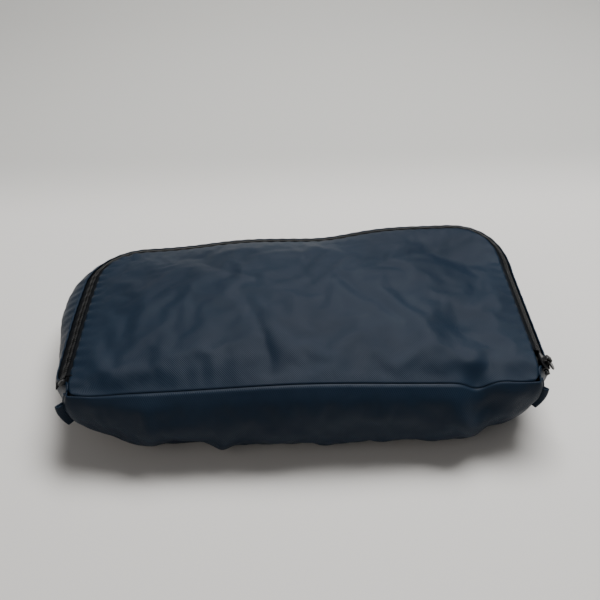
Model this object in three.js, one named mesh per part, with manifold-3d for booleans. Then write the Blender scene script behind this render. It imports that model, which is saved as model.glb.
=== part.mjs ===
import * as THREE from 'three';
import Module from 'manifold-3d';
import { ParametricGeometry } from 'three/addons/geometries/ParametricGeometry.js';
import { mergeVertices } from 'three/addons/utils/BufferGeometryUtils.js';

// Soft zip pouch for travel papers, lying on its base. Millimetres.
// +X runs along the length, +Y from the sewn front seam to the back, +Z up.

// ---- overall sizes ----
const LENGTH = 284; // between the end walls, at the zip line
const DEPTH = 144; // from the front seam to the zip line at the back
const GUSSET_HEIGHT = 46; // top edge of the band that carries the zip
const SEAM_RISE = 3.6; // the hinge seam sits this much higher
const SEAM_HEIGHT = GUSSET_HEIGHT + SEAM_RISE; // top edge of the front wall
const CROWN = 15; // rise of the lid from its edge to its middle
const CORNER_FRONT = 12; // plan radius of the two front corners
const CORNER_BACK = 38; // plan radius of the two back corners
const TUCK = 10; // the base is smaller than the zip line by this, all round
const BELLY = 15; // pull of the wall's outward belly
const BELLY_HEIGHT = 28; // height at which the belly is pulled

// ---- cloth ----
const CLOTH = 0.8;
const LINING = 0.5;
const BINDING = 0.8;
const GAP = 0.3; // clearance between neighbouring pieces
const INNER = CLOTH / 2 + GAP + LINING / 2; // from the cloth's middle to the lining's middle
const SLACK = 0.6; // a lining hangs this much further from its wall than the gap

// ---- zip ----
const ZIP_TILT = 42 * Math.PI / 180; // slope of the zip band, rising towards the lid
const ZIP_HALF = 5.6; // half width of the whole band
const TAPE = 0.6;
const COIL_IN = 0.6; // inner face of a coil from the band's centre line
const COIL_OUT = 1.9;
const COIL_THICK = 1.7;
const ZIP_N = -4.9; // centre of the band, inwards of the zip line
const ZIP_Z = GUSSET_HEIGHT + 4.4;

// ---- slider and pull ----
const SLIDER_LENGTH = 10;
const SLIDER_WIDTH = 7.2;
const PLATE = 0.8;
const PLATE_IN = COIL_THICK / 2 + GAP;
const ARCH_HOLE = 3.2;
const ARCH_LEG = 0.9;
const ARCH_DEEP = 2.4;
const RING_RADIUS = 3.7;
const RING_WIRE = 0.65;
const RING_DROOP = 11.13 * Math.PI / 180; // the hanging ring drops below the band's slope
const RING_LEAN = ZIP_TILT + RING_DROOP;
const ARCH_RISE = 2.65; // clear height under the arch
const SLIDER_Y = -DEPTH / 2 + 14; // middle of the parked slider

// ---- lid ----
const LID_EDGE = ZIP_N - (ZIP_HALF + 1) * Math.cos(ZIP_TILT); // edge of the lid, inwards of the zip line
const LID_EDGE_Z = ZIP_Z + (ZIP_HALF + 1) * Math.sin(ZIP_TILT);
const LID_FRONT_Z = SEAM_HEIGHT + CLOTH / 2 + GAP + 0.1;
const LID_FRONT_Y = -DEPTH / 2 + GAP;
const LID_BACK_Y = DEPTH / 2 + LID_EDGE;
const LID_HALF_X = LENGTH / 2 + LID_EDGE;
const LID_RAMP = 14; // the lid's edge climbs from the front seam to the zip band over this

// ---- small pieces ----
const TAB_HEIGHT = 20;
const TAB_REACH = 8;
const TAB_THICK = 2.2;
const TAB_TOP = GUSSET_HEIGHT - 2;
const POCKET_SIDE = 27; // mesh pocket, in from the lid's ends
const POCKET_FRONT = 22; // in from the hinge seam
const POCKET_MOUTH = 38; // its mouth, in from the lid's back edge
const HEM = 6;
const SLEEVE_LENGTH = 148; // document sleeve on the base
const CARD_POCKET = 58; // width of the first card pocket
const CARD_STEP = 12; // each pocket behind shows this much
const POCKET_INSET = 15; // flat pockets, in from the base panel's edge

const navy = cloth(0x2c3748);
const liningCloth = cloth(0x3a4048);
const zipBlack = cloth(0x14181d);
const coilBlack = new THREE.MeshStandardMaterial({ color: 0x0d0f12, roughness: 0.45, metalness: 0.0 });
const meshCloth = cloth(0x23282e);
const glossBlack = new THREE.MeshStandardMaterial({ color: 0x08090a, roughness: 0.25, metalness: 0.6 });

const wasm = await Module();
wasm.setup();

const part = new THREE.Group();
part.name = 'travel_document_organizer';

function cloth(color) {
  return new THREE.MeshStandardMaterial({ color, roughness: 0.85, metalness: 0.0 });
}

function place(name, geometry, material) {
  const mesh = new THREE.Mesh(closedBody(geometry), material);
  mesh.name = name;
  part.add(mesh);
}

// Merges doubled points and turns the faces outwards.
function closedBody(geometry) {
  const bare = new THREE.BufferGeometry();
  bare.setAttribute('position', geometry.getAttribute('position'));
  if (geometry.index) bare.setIndex(geometry.index);
  const merged = mergeVertices(bare, 1e-4);
  const position = merged.getAttribute('position');
  const corners = Array.from(merged.index.array);
  const kept = [];
  const a = new THREE.Vector3();
  const b = new THREE.Vector3();
  const c = new THREE.Vector3();
  let volume = 0;
  for (let i = 0; i < corners.length; i += 3) {
    const [p, q, r] = corners.slice(i, i + 3);
    if (p === q || q === r || r === p) continue;
    kept.push(p, q, r);
    a.fromBufferAttribute(position, p);
    b.fromBufferAttribute(position, q);
    c.fromBufferAttribute(position, r);
    volume += a.dot(b.cross(c)) / 6;
  }
  if (volume < 0) kept.reverse();
  merged.setIndex(kept);
  merged.computeVertexNormals();
  return merged;
}

// A closed plan path with its own corner radii, as frames {x, y, nx, ny}, clockwise from above.
// It starts in the middle of the front left corner.
function outline(halfX, halfY, front, back, backY = halfY) {
  const frames = [];
  const arc = (cx, cy, radius, from, to, steps) => {
    for (let i = 0; i <= steps; i++) {
      const angle = THREE.MathUtils.degToRad(from + (to - from) * i / steps);
      const nx = Math.cos(angle);
      const ny = Math.sin(angle);
      frames.push({ x: cx + radius * nx, y: cy + radius * ny, nx, ny });
    }
  };
  const run = (steps) => {
    const start = frames[frames.length - 1];
    frames.push({ ...start, steps });
  };
  arc(-halfX + front, -halfY + front, front, 225, 180, 3);
  run(4);
  arc(-halfX + back, backY - back, back, 180, 90, 6);
  run(6);
  arc(halfX - back, backY - back, back, 90, 0, 6);
  run(4);
  arc(halfX - front, -halfY + front, front, 0, -45, 3);
  arc(halfX - front, -halfY + front, front, -45, -90, 3);
  run(8);
  arc(-halfX + front, -halfY + front, front, -90, -135, 3);
  return spread(frames);
}

// Turns each marked run between two corners into evenly spaced frames, and drops doubles.
function spread(frames) {
  const out = [];
  frames.forEach((frame, i) => {
    if (frame.steps) {
      const start = frames[i - 1];
      const end = frames[i + 1];
      for (let k = 1; k < frame.steps; k++) {
        const t = k / frame.steps;
        out.push({
          x: start.x + (end.x - start.x) * t,
          y: start.y + (end.y - start.y) * t,
          nx: start.nx,
          ny: start.ny,
        });
      }
      return;
    }
    const last = out[out.length - 1];
    if (last && Math.hypot(last.x - frame.x, last.y - frame.y) < 1e-6) return;
    out.push(frame);
  });
  return out;
}

// The frames of the three sides that carry the zip, and of the front.
const around = outline(LENGTH / 2, DEPTH / 2, CORNER_FRONT, CORNER_BACK);
const cornerRight = around.findIndex((f, i) => i > 10 && Math.abs(f.nx - Math.SQRT1_2) < 1e-6 && f.ny < 0);
const zipRun = around.slice(0, cornerRight + 1);
const frontRun = around.slice(cornerRight);

// A thin sheet carried along a path. Every row is a ring of [outward, up] pairs: the outer face
// and then the inner face backwards. The ends close onto the sheet's middle.
function sweptSheet(frames, section) {
  const rings = frames.map((f, i) => {
    const { outer, inner } = section(f, i);
    return [...outer, ...inner.slice().reverse()].map(
      ([n, z]) => new THREE.Vector3(f.x + n * f.nx, f.y + n * f.ny, z),
    );
  });
  return closedLoft([onMiddle(rings[0]), ...rings, onMiddle(rings[rings.length - 1])]);
}

function onMiddle(ring) {
  return ring.map((p, i) => p.clone().lerp(ring[ring.length - 1 - i], 0.5));
}

// A surface over rings of equal count; every ring closes on itself.
function closedLoft(rings) {
  const count = rings[0].length;
  const surface = (u, v, target) => {
    const row = rings[Math.round(v * (rings.length - 1))];
    target.copy(row[Math.round(u * count) % count]);
  };
  return new ParametricGeometry(surface, count, rings.length - 1);
}

// A strip whose section is a straight bar between two points of the [outward, up] plane.
function bar(from, to, thick) {
  const along = new THREE.Vector2(to[0] - from[0], to[1] - from[1]).normalize();
  const side = [-along.y * thick / 2, along.x * thick / 2];
  return {
    outer: [[from[0] + side[0], from[1] + side[1]], [to[0] + side[0], to[1] + side[1]]],
    inner: [[from[0] - side[0], from[1] - side[1]], [to[0] - side[0], to[1] - side[1]]],
  };
}

// Middle line of a wall in the [outward, up] plane, from the base to its top edge.
function wallCurve(top) {
  return new THREE.CubicBezierCurve(
    new THREE.Vector2(-TUCK, CLOTH / 2 + 1),
    new THREE.Vector2(6, CLOTH / 2 + 1),
    new THREE.Vector2(BELLY, BELLY_HEIGHT),
    new THREE.Vector2(0, top),
  );
}

function wallSection(top, shift, thick, from = 0, to = 1, steps = 7) {
  const curve = wallCurve(top);
  const outer = [];
  const inner = [];
  for (let i = 0; i <= steps; i++) {
    const t = from + (to - from) * i / steps;
    const p = curve.getPoint(t);
    const d = curve.getTangent(t);
    const out = new THREE.Vector2(d.y, -d.x);
    outer.push([p.x + out.x * (shift + thick / 2), p.y + out.y * (shift + thick / 2)]);
    inner.push([p.x + out.x * (shift - thick / 2), p.y + out.y * (shift - thick / 2)]);
  }
  return { outer, inner };
}

// Frames with the first and last moved inwards, so that two neighbouring pieces keep a gap.
function trimmed(frames, by) {
  const out = frames.map((f) => ({ ...f }));
  const pull = (end, next) => {
    const far = Math.hypot(next.x - end.x, next.y - end.y);
    end.x += (next.x - end.x) * by / far;
    end.y += (next.y - end.y) * by / far;
  };
  pull(out[0], frames[1]);
  pull(out[out.length - 1], frames[frames.length - 2]);
  return out;
}

// ---- the case ----
function roundedPlate(x0, x1, y0, y1, z0, thick, front, back) {
  const shape = new THREE.Shape();
  shape.moveTo(x0 + front, y0);
  shape.lineTo(x1 - front, y0);
  shape.absarc(x1 - front, y0 + front, front, -Math.PI / 2, 0, false);
  shape.lineTo(x1, y1 - back);
  shape.absarc(x1 - back, y1 - back, back, 0, Math.PI / 2, false);
  shape.lineTo(x0 + back, y1);
  shape.absarc(x0 + back, y1 - back, back, Math.PI / 2, Math.PI, false);
  shape.lineTo(x0, y0 + front);
  shape.absarc(x0 + front, y0 + front, front, Math.PI, 1.5 * Math.PI, false);
  const geometry = new THREE.ExtrudeGeometry(shape, { depth: thick, bevelEnabled: false, curveSegments: 8 });
  geometry.translate(0, 0, z0);
  return geometry;
}

function basePanel() {
  const x = LENGTH / 2 - TUCK - 1;
  const y = DEPTH / 2 - TUCK - 1;
  place('base_panel', roundedPlate(-x, x, -y, y, 0, CLOTH, 6, CORNER_BACK - TUCK - 1), navy);
}

function baseLining() {
  const x = LENGTH / 2 - TUCK - 5;
  const y = DEPTH / 2 - TUCK - 5;
  const plate = roundedPlate(-x, x, -y, y, CLOTH + GAP, LINING, 4, CORNER_BACK - TUCK - 5);
  place('base_lining', plate, liningCloth);
}

// Bound seam allowance inside, where the walls are sewn to the base.
function baseBinding() {
  const inset = TUCK + 1;
  const frames = outline(LENGTH / 2 - inset, DEPTH / 2 - inset, 6, CORNER_BACK - inset);
  const z = CLOTH + GAP + BINDING / 2;
  const { outer, inner } = bar([-3, z], [0, z], BINDING);
  const rings = frames.map((f) => [...outer, ...inner.slice().reverse()].map(
    ([n, up]) => new THREE.Vector3(f.x + n * f.nx, f.y + n * f.ny, up),
  ));
  place('base_binding', closedLoft([...rings, rings[0]]), zipBlack);
}

// The front wall is as low as the zip band at its corners and climbs to the hinge seam.
function frontTop(frame) {
  const climb = THREE.MathUtils.smoothstep(-frame.ny, Math.SQRT1_2, 1);
  return GUSSET_HEIGHT + (SEAM_HEIGHT - GUSSET_HEIGHT) * climb;
}

function frontWall() {
  const section = (f) => wallSection(frontTop(f), 0, CLOTH);
  place('front_wall', sweptSheet(trimmed(frontRun, GAP), section), navy);
  const inside = (f) => wallSection(frontTop(f), -INNER - SLACK, LINING, 0.14, 0.93);
  place('front_wall_lining', sweptSheet(trimmed(frontRun, 1), inside), liningCloth);
}

function zipGusset() {
  const section = wallSection(GUSSET_HEIGHT, 0, CLOTH);
  place('zip_gusset', sweptSheet(trimmed(zipRun, GAP), () => section), navy);
  const inside = wallSection(GUSSET_HEIGHT, -INNER - SLACK, LINING, 0.14, 0.93);
  place('gusset_lining', sweptSheet(trimmed(zipRun, 1), () => inside), liningCloth);
}

// Tape that binds the seam allowance of the front hinge seam, inside the case.
function frontSeamBinding() {
  const run = frontRun.filter((f) => f.ny < -0.999);
  const n = -(CLOTH / 2 + GAP + SLACK + LINING + GAP + BINDING / 2) - 0.9;
  const section = bar([n, SEAM_HEIGHT - 7], [n, SEAM_HEIGHT - 3], BINDING);
  place('front_seam_binding', sweptSheet(run, () => section), zipBlack);
}

// Rib of bound cloth over the upright seam at a front corner.
function cornerBinding(name, frame) {
  const shift = CLOTH / 2 + GAP + BINDING / 2;
  const steps = 10;
  const half = 1.6;
  const { outer, inner } = wallSection(GUSSET_HEIGHT, shift, BINDING, 0.3, 0.93, steps);
  const at = (n, side, z) => new THREE.Vector3(
    frame.x + n * frame.nx - side * frame.ny,
    frame.y + n * frame.ny + side * frame.nx,
    z,
  );
  const rings = outer.map(([n, z], i) => {
    const [m, w] = inner[i];
    return [at(n, -half, z), at(n, half, z), at(m, half, w), at(m, -half, w)];
  });
  place(name, closedLoft([onMiddle(rings[0]), ...rings, onMiddle(rings[steps])]), navy);
}

// Folded cloth tab caught in the corner seam, standing out from the corner.
function tab(name, frame) {
  const curve = wallCurve(GUSSET_HEIGHT);
  const clear = CLOTH / 2 + GAP + BINDING + GAP + 0.2;
  const rings = [];
  for (let i = 0; i <= 6; i++) {
    const z = TAB_TOP - TAB_HEIGHT + TAB_HEIGHT * i / 6;
    let t = 0.5;
    let step = 0.25;
    for (let k = 0; k < 24; k++) {
      t += curve.getPoint(t).y < z ? step : -step;
      step /= 2;
    }
    const near = curve.getPoint(t).x + clear + 0.6 * i / 6;
    const far = near + TAB_REACH;
    const at = (n, side) => new THREE.Vector3(
      frame.x + n * frame.nx - side * frame.ny,
      frame.y + n * frame.ny + side * frame.nx,
      z,
    );
    const half = TAB_THICK / 2;
    rings.push([at(near, -half), at(far, -half), at(far, half), at(near, half)]);
  }
  place(name, closedLoft([onMiddle(rings[0]), ...rings, onMiddle(rings[6])]), zipBlack);
}

// ---- the zip ----
// A point of the tilted band: how far towards the lid, how far above the band.
function onBand(toLid, above) {
  return [
    ZIP_N - toLid * Math.cos(ZIP_TILT) + above * Math.sin(ZIP_TILT),
    ZIP_Z + toLid * Math.sin(ZIP_TILT) + above * Math.cos(ZIP_TILT),
  ];
}

// The zip path between two distances from the front seam, on the left and on the right.
function zipBetween(left, right) {
  const runs = zipRun.filter((f) => f.ny > -0.001);
  const inside = runs.filter((f) => {
    const limit = f.x < 0 ? left : right;
    return f.ny > 0.001 || f.y > -DEPTH / 2 + limit + 1;
  });
  const start = { x: -LENGTH / 2, y: -DEPTH / 2 + left, nx: -1, ny: 0 };
  const end = { x: LENGTH / 2, y: -DEPTH / 2 + right, nx: 1, ny: 0 };
  return [start, ...inside, end];
}

function zipStrips() {
  const tapeIn = COIL_OUT + GAP;
  const lower = CORNER_FRONT;
  const caseRun = zipBetween(lower, lower);
    const lidRun = zipBetween(lower, 22);
  const caseTape = bar(onBand(-ZIP_HALF, 0), onBand(-tapeIn, 0), TAPE);
  const lidTape = bar(onBand(tapeIn, 0), onBand(ZIP_HALF, 0), TAPE);
  const coilA = bar(onBand(-COIL_OUT, 0), onBand(-COIL_IN, 0), COIL_THICK);
  const coilB = bar(onBand(COIL_IN, 0), onBand(COIL_OUT, 0), COIL_THICK);
  place('zip_tape_case', sweptSheet(caseRun, () => caseTape), zipBlack);
  place('zip_tape_lid', sweptSheet(lidRun, () => lidTape), zipBlack);
  place('zip_coil_case', sweptSheet(caseRun, () => coilA), coilBlack);
  place('zip_coil_lid', sweptSheet(lidRun, () => coilB), coilBlack);
}

// A block in the band's own frame, set on the left or the right side of the case.
function onBandSide(geometry, side, y) {
  const [n, z] = onBand(0, 0);
  geometry.rotateY(ZIP_TILT * side);
  geometry.translate(side * (LENGTH / 2 + n), y, z);
  return geometry;
}

function zipStops() {
  const y = -DEPTH / 2 + CORNER_FRONT - GAP - 1.5;
  const bottom = new THREE.BoxGeometry(2 * COIL_OUT + 0.8, 2.4, COIL_THICK + 0.6);
  place('zip_bottom_stop', onBandSide(bottom, -1, y), glossBlack);
  const top = new THREE.BoxGeometry(COIL_OUT, 2, COIL_THICK + 0.4);
  top.translate((COIL_OUT + COIL_IN) / 2, 0, 0);
  place('zip_top_stop', onBandSide(top, 1, SLIDER_Y - SLIDER_LENGTH / 2 - 2.4), glossBlack);
}

function solid(geometry) {
  const bare = new THREE.BufferGeometry();
  bare.setAttribute('position', geometry.getAttribute('position'));
  if (geometry.index) bare.setIndex(geometry.index);
  const merged = mergeVertices(bare, 1e-4);
  return new wasm.Manifold(new wasm.Mesh({
    numProp: 3,
    vertProperties: new Float32Array(merged.getAttribute('position').array),
    triVerts: new Uint32Array(merged.index.array),
  }));
}

function toGeometry(manifold) {
  const mesh = manifold.getMesh();
  const geometry = new THREE.BufferGeometry();
  geometry.setAttribute('position', new THREE.BufferAttribute(new Float32Array(mesh.vertProperties), 3));
  geometry.setIndex(new THREE.BufferAttribute(new Uint32Array(mesh.triVerts), 1));
  return geometry;
}

function sliderPlate(z0) {
  const w = SLIDER_WIDTH / 2;
  const l = SLIDER_LENGTH / 2;
  const shape = new THREE.Shape();
  shape.moveTo(-w + 1, l);
  shape.quadraticCurveTo(-w, l, -w, l - 1);
  shape.lineTo(-w, -l + 3);
  shape.quadraticCurveTo(-w, -l, -w + 2.2, -l);
  shape.lineTo(w - 2.2, -l);
  shape.quadraticCurveTo(w, -l, w, -l + 3);
  shape.lineTo(w, l - 1);
  shape.quadraticCurveTo(w, l, w - 1, l);
  const geometry = new THREE.ExtrudeGeometry(shape, { depth: PLATE, bevelEnabled: false, curveSegments: 5 });
  geometry.translate(0, 0, z0);
  return geometry;
}

function zipSlider() {
  const box = (wide, long, high, x, y, z) => {
    const geometry = new THREE.BoxGeometry(wide, long, high);
    geometry.translate(x, y, z);
    return solid(geometry);
  };
  const top = PLATE_IN + PLATE;
  let body = solid(sliderPlate(PLATE_IN)).add(solid(sliderPlate(-top)));
  body = body.add(box(0.6, 3, 2 * PLATE_IN + 0.4, 0, -SLIDER_LENGTH / 2 + 1.9, 0));
  const flangeX = SLIDER_WIDTH / 2 - 0.35;
  for (const side of [-1, 1]) {
    for (const up of [-1, 1]) {
      const high = PLATE_IN - TAPE / 2 - GAP + 0.2;
      const z = up * (PLATE_IN + 0.2 - high / 2);
      body = body.add(box(0.6, SLIDER_LENGTH - 5, high, side * flangeX, 1, z));
    }
  }
  const arch = new THREE.Shape();
  const outer = ARCH_HOLE / 2 + ARCH_LEG;
  const rise = ARCH_RISE + ARCH_LEG;
  arch.moveTo(-outer, -0.2);
  arch.lineTo(outer, -0.2);
  arch.lineTo(outer, rise - 1.2);
  arch.quadraticCurveTo(outer, rise, outer - 1.2, rise);
  arch.lineTo(-outer + 1.2, rise);
  arch.quadraticCurveTo(-outer, rise, -outer, rise - 1.2);
  const hole = new THREE.Path();
  const inner = ARCH_HOLE / 2;
  hole.moveTo(-inner, 0);
  hole.lineTo(-inner, ARCH_RISE - 0.6);
  hole.quadraticCurveTo(-inner, ARCH_RISE, -inner + 0.6, ARCH_RISE);
  hole.lineTo(inner - 0.6, ARCH_RISE);
  hole.quadraticCurveTo(inner, ARCH_RISE, inner, ARCH_RISE - 0.6);
  hole.lineTo(inner, 0);
  arch.holes.push(hole);
  const loop = new THREE.ExtrudeGeometry(arch, { depth: ARCH_DEEP, bevelEnabled: false, curveSegments: 5 });
  loop.rotateX(Math.PI / 2);
  loop.translate(0, ARCH_DEEP / 2, top);
  body = body.add(solid(loop));
  place('zip_slider', onBandSide(toGeometry(body), 1, SLIDER_Y), glossBlack);
}

function pullRing() {
  const above = PLATE_IN + PLATE + ARCH_RISE - RING_WIRE - GAP;
  const [n, z] = onBand(0, above);
  const ring = new THREE.TorusGeometry(RING_RADIUS, RING_WIRE, 10, 28);
  ring.rotateY(RING_LEAN);
  const out = Math.cos(RING_LEAN);
  const down = Math.sin(RING_LEAN);
  ring.translate(LENGTH / 2 + n + RING_RADIUS * out, SLIDER_Y, z - RING_RADIUS * down);
  place('pull_ring', ring, glossBlack);
}

// ---- the lid ----
// Height of the middle of the lid's cloth over a point of the plan.
function lidHeight(x, y) {
  const middle = (LID_FRONT_Y + LID_BACK_Y) / 2;
  const half = (LID_BACK_Y - LID_FRONT_Y) / 2;
  const fx = 1 - Math.min(1, Math.abs(x) / LID_HALF_X) ** 2.4;
  const fy = 1 - Math.min(1, Math.abs(y - middle) / half) ** 2.4;
  const climb = THREE.MathUtils.smoothstep(y, LID_FRONT_Y, LID_FRONT_Y + LID_RAMP);
  return LID_FRONT_Z + (LID_EDGE_Z - LID_FRONT_Z) * climb + CROWN * fx * fy;
}

function lidOutline(inset) {
  const halfY = -LID_FRONT_Y - inset;
  const backY = LID_BACK_Y - inset;
  const back = CORNER_BACK + LID_EDGE - inset;
  return outline(LID_HALF_X - inset, halfY, Math.max(3, 6 - inset), back, backY);
}

// A crowned sheet inside a closed outline, from its middle out to the edge and back underneath.
function crownedSheet(frames, lower, thick, rings) {
  const middle = (LID_FRONT_Y + LID_BACK_Y) / 2;
  const row = (r, side) => frames.map((f) => {
    const x = f.x * r;
    const y = middle + (f.y - middle) * r;
    return new THREE.Vector3(x, y, lidHeight(x, y) - lower + side * thick / 2);
  });
  const rows = [];
  for (let i = 0; i <= rings; i++) rows.push(row(i / rings, 1));
  for (let i = rings; i >= 0; i--) rows.push(row(i / rings, -1));
  return closedLoft(rows);
}

function lidPanel() {
  place('lid_panel', crownedSheet(lidOutline(0), 0, CLOTH, 8), navy);
  place('lid_lining', crownedSheet(lidOutline(6), INNER + 0.15, LINING, 6), liningCloth);
}

function lidBinding() {
  const frames = lidOutline(1.8);
  const rings = frames.map((f) => {
    const at = (n, side) => {
      const x = f.x + n * f.nx;
      const y = f.y + n * f.ny;
      return new THREE.Vector3(x, y, lidHeight(x, y) - INNER - 0.3 + side * BINDING / 2);
    };
    return [at(-3, 1), at(0, 1), at(0, -1), at(-3, -1)];
  });
  place('lid_binding', closedLoft([...rings, rings[0]]), zipBlack);
}

// A sheet that hangs below the lid's lining over a rectangle of the plan.
function underLid(x0, x1, y0, y1, lower, thick, steps, rows) {
  const rings = [];
  for (let i = 0; i <= steps; i++) {
    const x = x0 + (x1 - x0) * i / steps;
    const line = (side) => Array.from({ length: rows + 1 }, (_, k) => {
      const y = y0 + (y1 - y0) * k / rows;
      return new THREE.Vector3(x, y, lidHeight(x, y) - lower + side * thick / 2);
    });
    rings.push([...line(1), ...line(-1).reverse()]);
  }
  return closedLoft([onMiddle(rings[0]), ...rings, onMiddle(rings[steps])]);
}

function lidPocket() {
  const x = LID_HALF_X - POCKET_SIDE;
  const front = LID_FRONT_Y + POCKET_FRONT;
  const mouth = LID_BACK_Y - POCKET_MOUTH;
  const lower = INNER + 0.15 + LINING + GAP + SLACK;
  place('lid_pocket', underLid(-x, x, front, mouth, lower, LINING, 10, 5), meshCloth);
  const hem = lower + LINING / 2 + GAP + BINDING / 2 + 0.2;
  place('lid_pocket_hem', underLid(-x, x, mouth - HEM, mouth, hem, BINDING, 10, 1), zipBlack);
}

// ---- flat pockets on the base lining ----
function pockets() {
  const x = LENGTH / 2 - TUCK - 1 - POCKET_INSET;
  const y = DEPTH / 2 - TUCK - 1 - POCKET_INSET;
  const left = -x - 1;
  const card = x - CARD_POCKET - CARD_STEP;
  let z = CLOTH + GAP + LINING + GAP;
  place('document_sleeve', roundedPlate(left, left + SLEEVE_LENGTH, -y, y, z, LINING, 3, 3), liningCloth);
  place('card_pocket_1', roundedPlate(card, card + CARD_POCKET, -y, y, z, LINING, 3, 3), liningCloth);
  z += LINING + GAP;
  const mouth = left + SLEEVE_LENGTH;
  place('sleeve_binding', roundedPlate(mouth - HEM, mouth, -y + 2, y - 2, z, BINDING, 1, 1), zipBlack);
  const second = card + CARD_STEP;
  place('card_pocket_2', roundedPlate(second, card + CARD_POCKET + 6, -y, y, z, LINING, 3, 3), liningCloth);
  z += LINING + GAP;
  const third = card + 2 * CARD_STEP;
  place('card_pocket_3', roundedPlate(third, card + CARD_POCKET + 10, -y, y, z, LINING, 3, 3), liningCloth);
}

basePanel();
baseLining();
baseBinding();
frontWall();
zipGusset();
frontSeamBinding();
cornerBinding('corner_binding_left', around[0]);
cornerBinding('corner_binding_right', around[cornerRight]);
tab('left_tab', around[0]);
tab('right_tab', around[cornerRight]);
zipStrips();
zipStops();
zipSlider();
pullRing();
lidPanel();
lidBinding();
lidPocket();
pockets();

export default part;
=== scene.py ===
import math

import bmesh
import bpy
from mathutils import Matrix, Vector, noise


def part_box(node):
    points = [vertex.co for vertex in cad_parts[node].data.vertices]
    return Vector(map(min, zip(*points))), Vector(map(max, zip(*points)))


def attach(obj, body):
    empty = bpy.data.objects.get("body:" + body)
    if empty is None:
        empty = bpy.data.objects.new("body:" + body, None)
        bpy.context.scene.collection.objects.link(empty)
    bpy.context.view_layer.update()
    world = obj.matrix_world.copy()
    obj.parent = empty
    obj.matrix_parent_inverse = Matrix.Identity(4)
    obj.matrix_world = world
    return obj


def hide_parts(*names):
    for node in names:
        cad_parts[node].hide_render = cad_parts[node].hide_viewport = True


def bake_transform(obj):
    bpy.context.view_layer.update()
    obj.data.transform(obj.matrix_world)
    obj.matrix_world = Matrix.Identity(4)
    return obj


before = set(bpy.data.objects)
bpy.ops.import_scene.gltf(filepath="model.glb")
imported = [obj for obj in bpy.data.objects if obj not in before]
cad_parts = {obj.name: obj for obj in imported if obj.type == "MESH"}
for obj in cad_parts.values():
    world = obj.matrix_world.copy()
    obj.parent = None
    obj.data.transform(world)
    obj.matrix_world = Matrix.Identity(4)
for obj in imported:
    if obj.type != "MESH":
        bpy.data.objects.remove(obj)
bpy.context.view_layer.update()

# ---- Base panel ----
# The bottom of the pouch is one flat piece of coated nylon with rounded corners, wider at the
# front than at the back. The walls are sewn to its edge, and the pouch lies on it.
MM = 0.001
HALF_LENGTH = 142.0
HALF_DEPTH = 72.0
FRONT_CORNER = 12.0  # corner radii of the sewing line round the top of the walls
BACK_CORNER = 38.0
TUCK = 10.0  # the base ends this far inside that line
BASE_FRONT_CORNER = 46
BASE_BACK_CORNER = 28
CLOTH = 0.8

NAVY = "#0e1c2b"
NAVY_WORN = "#142231"


def linear(hex_colour):
    """The linear colour of an sRGB hex value."""
    parts = [int(hex_colour[i : i + 2], 16) / 255 for i in (1, 3, 5)]
    return [c / 12.92 if c <= 0.04045 else ((c + 0.055) / 1.055) ** 2.4 for c in parts] + [1.0]


def add(tree, kind, values=None, links=None, **settings):
    """Adds a node with its settings, its inputs' values and its links."""
    node = tree.nodes.new(kind)
    for key, value in settings.items():
        setattr(node, key, value)
    for key, value in (values or {}).items():
        node.inputs[key].default_value = value
    for key, source in (links or {}).items():
        tree.links.new(source, node.inputs[key])
    return node


def finish(name, shader):
    """A bare material with one principled shader, and its node tree."""
    material = bpy.data.materials.new(name)
    material.use_nodes = True
    tree = material.node_tree
    tree.nodes.clear()
    body = add(tree, "ShaderNodeBsdfPrincipled", shader)
    output = tree.nodes.new("ShaderNodeOutputMaterial")
    tree.links.new(body.outputs["BSDF"], output.inputs["Surface"])
    return material, tree, body


def woven(name, colour, worn, thread, depth, crumple, roughness, shader):
    """Woven cloth: over and under threads from the cut's own measure, creases from place."""
    material, tree, body = finish(name, {"Base Color": linear(colour), **shader})
    cut = add(tree, "ShaderNodeUVMap", uv_map="cut")
    split = add(tree, "ShaderNodeSeparateXYZ", links={0: cut.outputs["UV"]})
    waves = []
    for axis in ("X", "Y"):
        turn = add(tree, "ShaderNodeMath", {1: 2 * math.pi / (thread * MM)},
                   {0: split.outputs[axis]}, operation="MULTIPLY")
        waves.append(add(tree, "ShaderNodeMath", None, {0: turn.outputs[0]}, operation="SINE"))
    weave = add(tree, "ShaderNodeMath", None,
                {0: waves[0].outputs[0], 1: waves[1].outputs[0]}, operation="MULTIPLY")
    # creases about 13 mm apart, and patches about 70 mm across that handling has paled
    place = add(tree, "ShaderNodeTexCoord")
    folds = add(tree, "ShaderNodeTexNoise", {"Scale": 75.0, "Detail": 3.0, "Roughness": 0.45},
                {"Vector": place.outputs["Object"]})
    handling = add(tree, "ShaderNodeTexNoise", {"Scale": 14.0, "Detail": 4.0, "Roughness": 0.6},
                   {"Vector": place.outputs["Object"]})
    tint = add(tree, "ShaderNodeMapRange", {1: 0.38, 2: 0.68, 3: 0.0, 4: 1.0},
               {0: handling.outputs["Fac"]})
    mix = add(tree, "ShaderNodeMix", None, {"Factor": tint.outputs[0]}, data_type="RGBA")
    mix.inputs[6].default_value = linear(colour)
    mix.inputs[7].default_value = linear(worn)
    tree.links.new(mix.outputs[2], body.inputs["Base Color"])
    rough = add(tree, "ShaderNodeMapRange", {1: 0.3, 2: 0.7, 3: roughness - 0.05, 4: roughness + 0.06},
                {0: folds.outputs["Fac"]})
    tree.links.new(rough.outputs[0], body.inputs["Roughness"])
    creased = add(tree, "ShaderNodeBump", {"Strength": 1.0, "Distance": crumple * MM},
                  {"Height": folds.outputs["Fac"]})
    threads = add(tree, "ShaderNodeBump", {"Strength": 0.6, "Distance": depth * MM},
                  {"Height": weave.outputs[0], "Normal": creased.outputs[0]})
    tree.links.new(threads.outputs[0], body.inputs["Normal"])
    return material


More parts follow.
